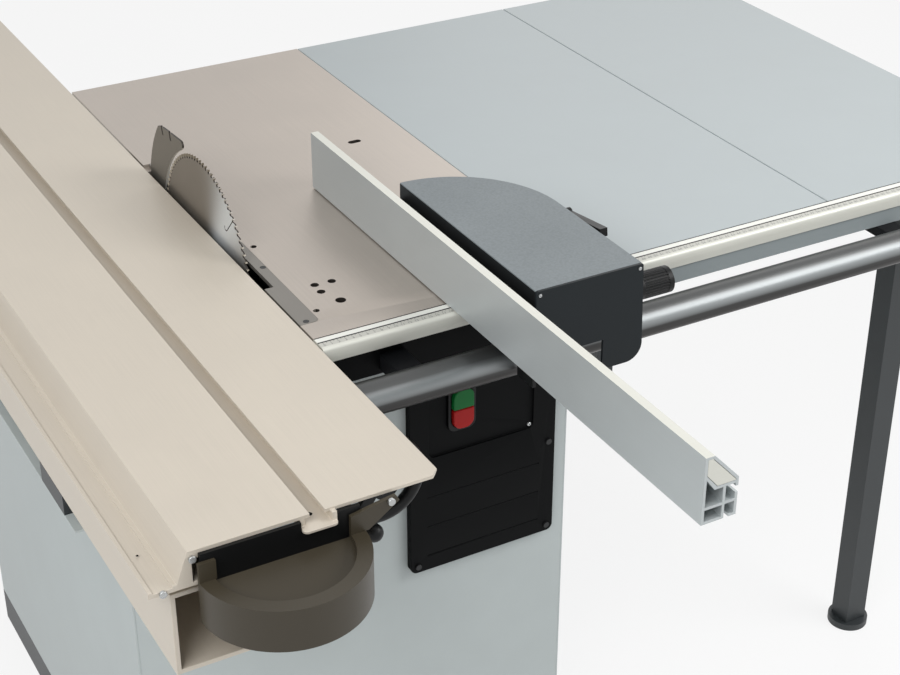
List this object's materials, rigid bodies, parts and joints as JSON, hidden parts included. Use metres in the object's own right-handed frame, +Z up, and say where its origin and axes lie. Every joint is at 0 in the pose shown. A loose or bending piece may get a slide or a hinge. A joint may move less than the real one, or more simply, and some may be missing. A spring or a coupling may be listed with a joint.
{
  "type": "sliding table saw",
  "caption": "Floor-standing sliding table saw: cabinet with tilting, rising blade, sliding table on a rail, extension tables and a rip fence on a round guide bar.",
  "frame": {"origin": "on the floor straight below the blade's centre, in the underside of the base frame", "axes": "+X to the right of the operator, +Y in the feed direction, +Z up"},
  "size_m": [1.646, 2.275, 0.99],
  "materials": {
    "cabinet_paint": "satin",
    "dark_paint": "satin",
    "black_plastic": "textured",
    "ground_iron": "ground",
    "extension_paint": "satin",
    "steel": "brushed",
    "blade_steel": "brushed",
    "anodised": "anodised",
    "aluminium": "satin",
    "chrome": "polished",
    "hammer_paint": "hammered",
    "motor_paint": "satin",
    "belt_rubber": "matt",
    "green": "gloss",
    "red": "gloss"
  },
  "bodies": {
    "stand": {"base_frame": "dark_paint", "cabinet_front": "cabinet_paint", "cabinet_back": "cabinet_paint", "cabinet_left": "cabinet_paint", "cabinet_right": "cabinet_paint", "front_cover": "black_plastic", "panel_screws": "steel", "switch_bezel": "black_plastic", "main_table": "ground_iron", "table_insert": "steel", "extension_table_inner": "extension_paint", "extension_table_outer": "extension_paint", "extension_legs": "dark_paint", "front_rail": "aluminium", "rail_apron": "steel", "guide_bar": "chrome", "bar_brackets": "dark_paint", "slide_rail": "anodised", "rail_brackets": "dark_paint", "trunnion_brackets": "dark_paint", "dust_port": "black_plastic"},
    "tilt_unit": {"tilt_frame": "dark_paint", "trunnion_keys": "steel", "guide_columns": "chrome", "tilt_sector": "steel"},
    "saw_unit": {"saw_saddle": "motor_paint", "motor": "motor_paint", "dust_hood": "black_plastic", "riving_knife": "steel", "knife_holder": "dark_paint", "arbor_bearings": "steel", "drive_belt": "belt_rubber"},
    "arbor": {"arbor_shaft": "steel", "saw_blade": "blade_steel", "outer_flange": "steel", "arbor_nut": "steel", "arbor_pulley": "steel"},
    "motor_rotor": {"motor_pulley": "steel"},
    "lift_wheel": {"lift_handwheel": "black_plastic", "lift_shaft": "steel"},
    "lift_crank": {"lift_knob": "black_plastic"},
    "lift_spindle": {"lift_screw": "steel"},
    "tilt_wheel": {"tilt_handwheel": "black_plastic", "tilt_worm_shaft": "steel"},
    "tilt_crank": {"tilt_knob": "black_plastic"},
    "sliding_table": {"slide_table": "anodised", "slide_end_cover": "black_plastic", "push_handle": "black_plastic", "slide_screws": "chrome"},
    "slide_cage": {"roller_cage": "steel"},
    "carrier": {"fence_carrier": "hammer_paint", "carrier_end_plate": "black_plastic", "bar_bush": "dark_paint", "fence_tbolts": "steel"},
    "fence": {"fence_profile": "aluminium", "fence_end_plug": "aluminium"},
    "fence_lever": {"clamp_lever": "black_plastic"},
    "fine_adjuster": {"fine_knob": "black_plastic"},
    "start": {"start_button": "green"},
    "stop": {"stop_button": "red"}
  },
  "joints": [
    {"name": "blade_tilt", "type": "hinge", "parent": "stand", "child": "tilt_unit", "pos_m": [0, 0, 0.89], "axis": [0, 1, 0], "range_deg": [0, 45]},
    {"name": "blade_lift", "type": "slide", "parent": "tilt_unit", "child": "saw_unit", "axis": [0, 0, 1], "range_m": [-0.1, 0.006]},
    {"name": "arbor_spin", "type": "hinge", "parent": "saw_unit", "child": "arbor", "pos_m": [0, 0, 0.83], "axis": [1, 0, 0], "continuous": true},
    {"name": "motor_spin", "type": "hinge", "parent": "saw_unit", "child": "motor_rotor", "pos_m": [0.2, 0, 0.66], "axis": [1, 0, 0], "continuous": true},
    {"name": "lift_wheel_turn", "type": "hinge", "parent": "tilt_unit", "child": "lift_wheel", "pos_m": [0.045, -0.4, 0.704], "axis": [0, -1, 0], "range_deg": [-6000, 360]},
    {"name": "lift_screw_turn", "type": "hinge", "parent": "tilt_unit", "child": "lift_spindle", "pos_m": [0.045, -0.17, 0.59], "axis": [0, 0, 1], "range_deg": [-6000, 360]},
    {"name": "lift_crank_spin", "type": "hinge", "parent": "lift_wheel", "child": "lift_crank", "pos_m": [0.01481, -0.45, 0.6575], "axis": [0, -1, 0], "continuous": true},
    {"name": "tilt_wheel_turn", "type": "hinge", "parent": "stand", "child": "tilt_wheel", "pos_m": [0.3, 0.231, 0.5757], "axis": [1, 0, 0], "range_deg": [0, 7200]},
    {"name": "tilt_crank_spin", "type": "hinge", "parent": "tilt_wheel", "child": "tilt_crank", "pos_m": [0.48, 0.1845, 0.60589], "axis": [1, 0, 0], "continuous": true},
    {"name": "table_slide", "type": "slide", "parent": "stand", "child": "sliding_table", "axis": [0, 1, 0], "range_m": [-1.3, 0]},
    {"name": "cage_slide", "type": "slide", "parent": "stand", "child": "slide_cage", "axis": [0, 1, 0], "range_m": [-0.65, 0]},
    {"name": "carrier_slide", "type": "slide", "parent": "stand", "child": "carrier", "axis": [1, 0, 0], "range_m": [-0.17, 0.8]},
    {"name": "fence_slide", "type": "slide", "parent": "carrier", "child": "fence", "axis": [0, 1, 0], "range_m": [-0.3, 0.4]},
    {"name": "clamp_lever_turn", "type": "hinge", "parent": "carrier", "child": "fence_lever", "pos_m": [0.39, -0.322, 0.952], "axis": [-1, 0, 0], "range_deg": [0, 70]},
    {"name": "fine_knob_turn", "type": "hinge", "parent": "carrier", "child": "fine_adjuster", "pos_m": [0.42, -0.488, 0.916], "axis": [1, 0, 0], "continuous": true},
    {"name": "start_press", "type": "slide", "parent": "stand", "child": "start", "axis": [0, 1, 0], "range_m": [0, 0.004], "stiffness_N_per_m": 1500},
    {"name": "stop_press", "type": "slide", "parent": "stand", "child": "stop", "axis": [0, 1, 0], "range_m": [0, 0.004], "stiffness_N_per_m": 1500}
  ],
  "couplings": [
    {"joint": "lift_wheel_turn", "follows": "blade_lift", "rad_per_m": 1047.2},
    {"joint": "lift_screw_turn", "follows": "blade_lift", "rad_per_m": 1047.2},
    {"joint": "tilt_wheel_turn", "follows": "blade_tilt", "ratio": 160},
    {"joint": "motor_spin", "follows": "arbor_spin", "ratio": 0.70833},
    {"joint": "cage_slide", "follows": "table_slide", "ratio": 0.5}
  ]
}
